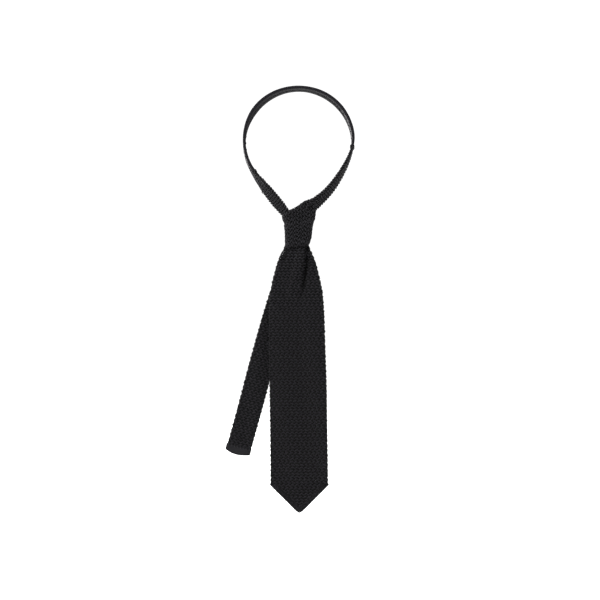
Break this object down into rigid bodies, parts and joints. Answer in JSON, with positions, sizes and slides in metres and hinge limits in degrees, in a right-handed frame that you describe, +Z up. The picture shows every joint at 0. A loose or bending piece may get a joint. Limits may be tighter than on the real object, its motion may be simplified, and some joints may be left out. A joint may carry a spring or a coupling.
{
  "type": "necktie",
  "caption": "Black knitted necktie tied in a four-in-hand knot, with a pointed wide end, a taped narrow end and a folded satin neck band that closes the neck loop.",
  "frame": {"origin": "middle of the knot's flat back, which sits on the shirt's top button", "axes": "+Z up along the hanging tie; +Y to the back, towards the wearer; the face of the tie looks along -Y"},
  "size_m": [0.1357, 0.025, 0.4474],
  "materials": {
    "knit": "openwork silk knit, staggered tuck stitch, dull sheen",
    "satin": "closely woven satin, soft lengthwise sheen",
    "interlining": "brushed wool canvas",
    "thread": "twisted silk sewing thread",
    "tape": "plain woven binding tape"
  },
  "bodies": {
    "knot": {"knot_front_wrap": "knit", "knot_top_fold": "knit", "knot_back_wrap": "knit", "blade_pass_through": "knit", "tail_pass_through": "knit"},
    "straps": {"left_strap_lower": "knit", "right_strap_lower": "knit"},
    "neck_loop": {"left_strap_upper": "knit", "right_strap_upper": "knit", "neck_band_cover": "satin", "neck_band_interlining": "interlining", "neck_band_slip_stitches": "thread", "left_join_stitches": "thread", "right_join_stitches": "thread"},
    "blade_neck": {"blade_neck_front": "knit", "blade_neck_back_left": "knit", "blade_neck_back_right": "knit"},
    "blade_upper": {"blade_upper_front": "knit", "blade_upper_back_left": "knit", "blade_upper_back_right": "knit", "blade_seam_upper": "thread"},
    "blade_lower": {"blade_lower_front": "knit", "blade_lower_back_left": "knit", "blade_lower_back_right": "knit", "blade_seam_lower": "thread", "blade_bar_tack": "thread", "blade_tip_hem": "knit", "blade_hem_stitches": "thread", "keeper_loop": "satin", "keeper_stitches": "thread"},
    "tail_upper": {"tail_upper_front": "knit", "tail_upper_back": "knit", "tail_seam_upper": "thread"},
    "tail_lower": {"tail_lower_front": "knit", "tail_lower_back": "knit", "tail_seam_lower": "thread", "tail_end_tape": "tape", "tail_tape_stitches": "thread"}
  },
  "joints": [
    {"name": "knot_slide", "type": "slide", "parent": "knot", "child": "straps", "axis": [0, 0, 1], "range_m": [0, 0.025]},
    {"name": "loop_tilt", "type": "hinge", "parent": "straps", "child": "neck_loop", "pos_m": [0, -0.0108, 0.035], "axis": [-1, 0, 0], "range_deg": [-20, 75], "stiffness_Nm_per_rad": 0.08},
    {"name": "blade_swing", "type": "hinge", "parent": "knot", "child": "blade_neck", "pos_m": [0, -0.01615, 0], "axis": [0, 1, 0], "range_deg": [-10, 10], "stiffness_Nm_per_rad": 0.1},
    {"name": "blade_lift", "type": "hinge", "parent": "blade_neck", "child": "blade_upper", "pos_m": [0, -0.01615, -0.056], "axis": [-1, 0, 0], "range_deg": [0, 70], "stiffness_Nm_per_rad": 0.02},
    {"name": "blade_bend", "type": "hinge", "parent": "blade_upper", "child": "blade_lower", "pos_m": [0, -0.01615, -0.142], "axis": [-1, 0, 0], "range_deg": [0, 80], "stiffness_Nm_per_rad": 0.01},
    {"name": "tail_swing", "type": "hinge", "parent": "knot", "child": "tail_upper", "pos_m": [0, -0.00735, 0], "axis": [0, 1, 0], "range_deg": [-25, 15], "stiffness_Nm_per_rad": 0.1},
    {"name": "tail_bend", "type": "hinge", "parent": "tail_upper", "child": "tail_lower", "pos_m": [-0.02292, -0.00735, -0.08496], "axis": [0.9655, 0, -0.2605], "range_deg": [0, 70], "stiffness_Nm_per_rad": 0.02}
  ]
}
